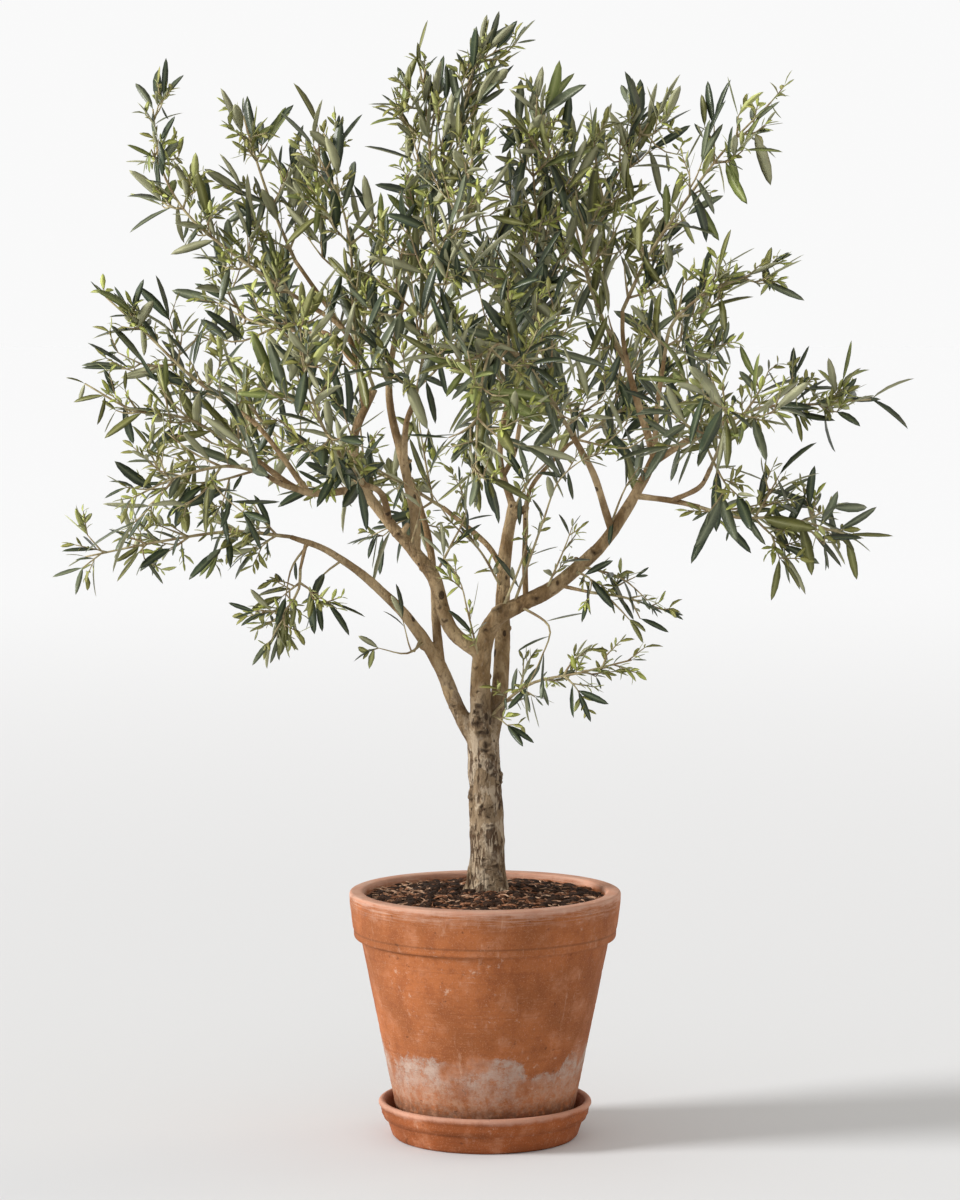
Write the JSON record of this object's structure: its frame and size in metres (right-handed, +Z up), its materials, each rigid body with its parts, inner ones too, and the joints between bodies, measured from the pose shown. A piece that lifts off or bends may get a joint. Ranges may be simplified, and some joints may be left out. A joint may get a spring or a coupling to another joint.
{
  "type": "potted olive tree",
  "caption": "Young olive tree with a low-forked trunk and an open, wide crown of narrow grey-green leaves, in a rolled-rim terracotta pot standing in its saucer.",
  "frame": {"origin": "middle of the saucer's flat underside, on the pot's axis, where the plant stands on the ground", "axes": "+Z up along the pot's axis; -Y towards the front of the crown; +X to the right seen from the front"},
  "size_m": [0.9858, 0.7375, 1.3209],
  "materials": {
    "terracotta": "matte",
    "saucer_terracotta": "matte",
    "compost": "matte",
    "bark": "matte",
    "bough_bark": "matte",
    "foliage": "satin"
  },
  "bodies": {
    "root": {"saucer": "saucer_terracotta", "pot": "terracotta", "soil": "compost", "trunk": "bark", "limb_right": "bough_bark", "limb_left": "bough_bark", "limb_back": "bough_bark", "bough_left": "bough_bark", "bough_leader": "bough_bark", "bough_left_drop": "bough_bark", "bough_left_out": "bough_bark", "bough_left_front": "bough_bark", "bough_left_shoulder": "bough_bark", "bough_left_upper": "bough_bark", "bough_left_top": "bough_bark", "bough_top_left": "bough_bark", "bough_front_left": "bough_bark", "bough_front_upper": "bough_bark", "bough_front": "bough_bark", "bough_right_upper": "bough_bark", "bough_right_crest": "bough_bark", "bough_right_mid": "bough_bark", "bough_right_out": "bough_bark", "bough_right_low": "bough_bark", "bough_right_twig": "bough_bark", "bough_front_right": "bough_bark", "bough_back_up": "bough_bark", "bough_inner": "bough_bark", "bough_back_left": "bough_bark", "bough_back_right": "bough_bark", "bough_upper_back": "bough_bark", "bough_left_back": "bough_bark", "foliage_top": "foliage", "foliage_top_left": "foliage", "foliage_left_inner": "foliage", "foliage_left_upper": "foliage", "foliage_left_top": "foliage", "foliage_left_shoulder": "foliage", "foliage_left_out": "foliage", "foliage_left_front": "foliage", "foliage_left_low": "foliage", "foliage_left_drop": "foliage", "foliage_front_left": "foliage", "foliage_front_upper": "foliage", "foliage_front": "foliage", "foliage_front_right": "foliage", "foliage_right_inner": "foliage", "foliage_right_crest": "foliage", "foliage_right_mid": "foliage", "foliage_right_out": "foliage", "foliage_right_low": "foliage", "foliage_right_twig": "foliage", "foliage_low_right": "foliage", "foliage_centre": "foliage", "foliage_back": "foliage", "foliage_back_left": "foliage", "foliage_back_right": "foliage", "foliage_upper_back": "foliage", "foliage_left_back": "foliage"}
  },
  "joints": []
}
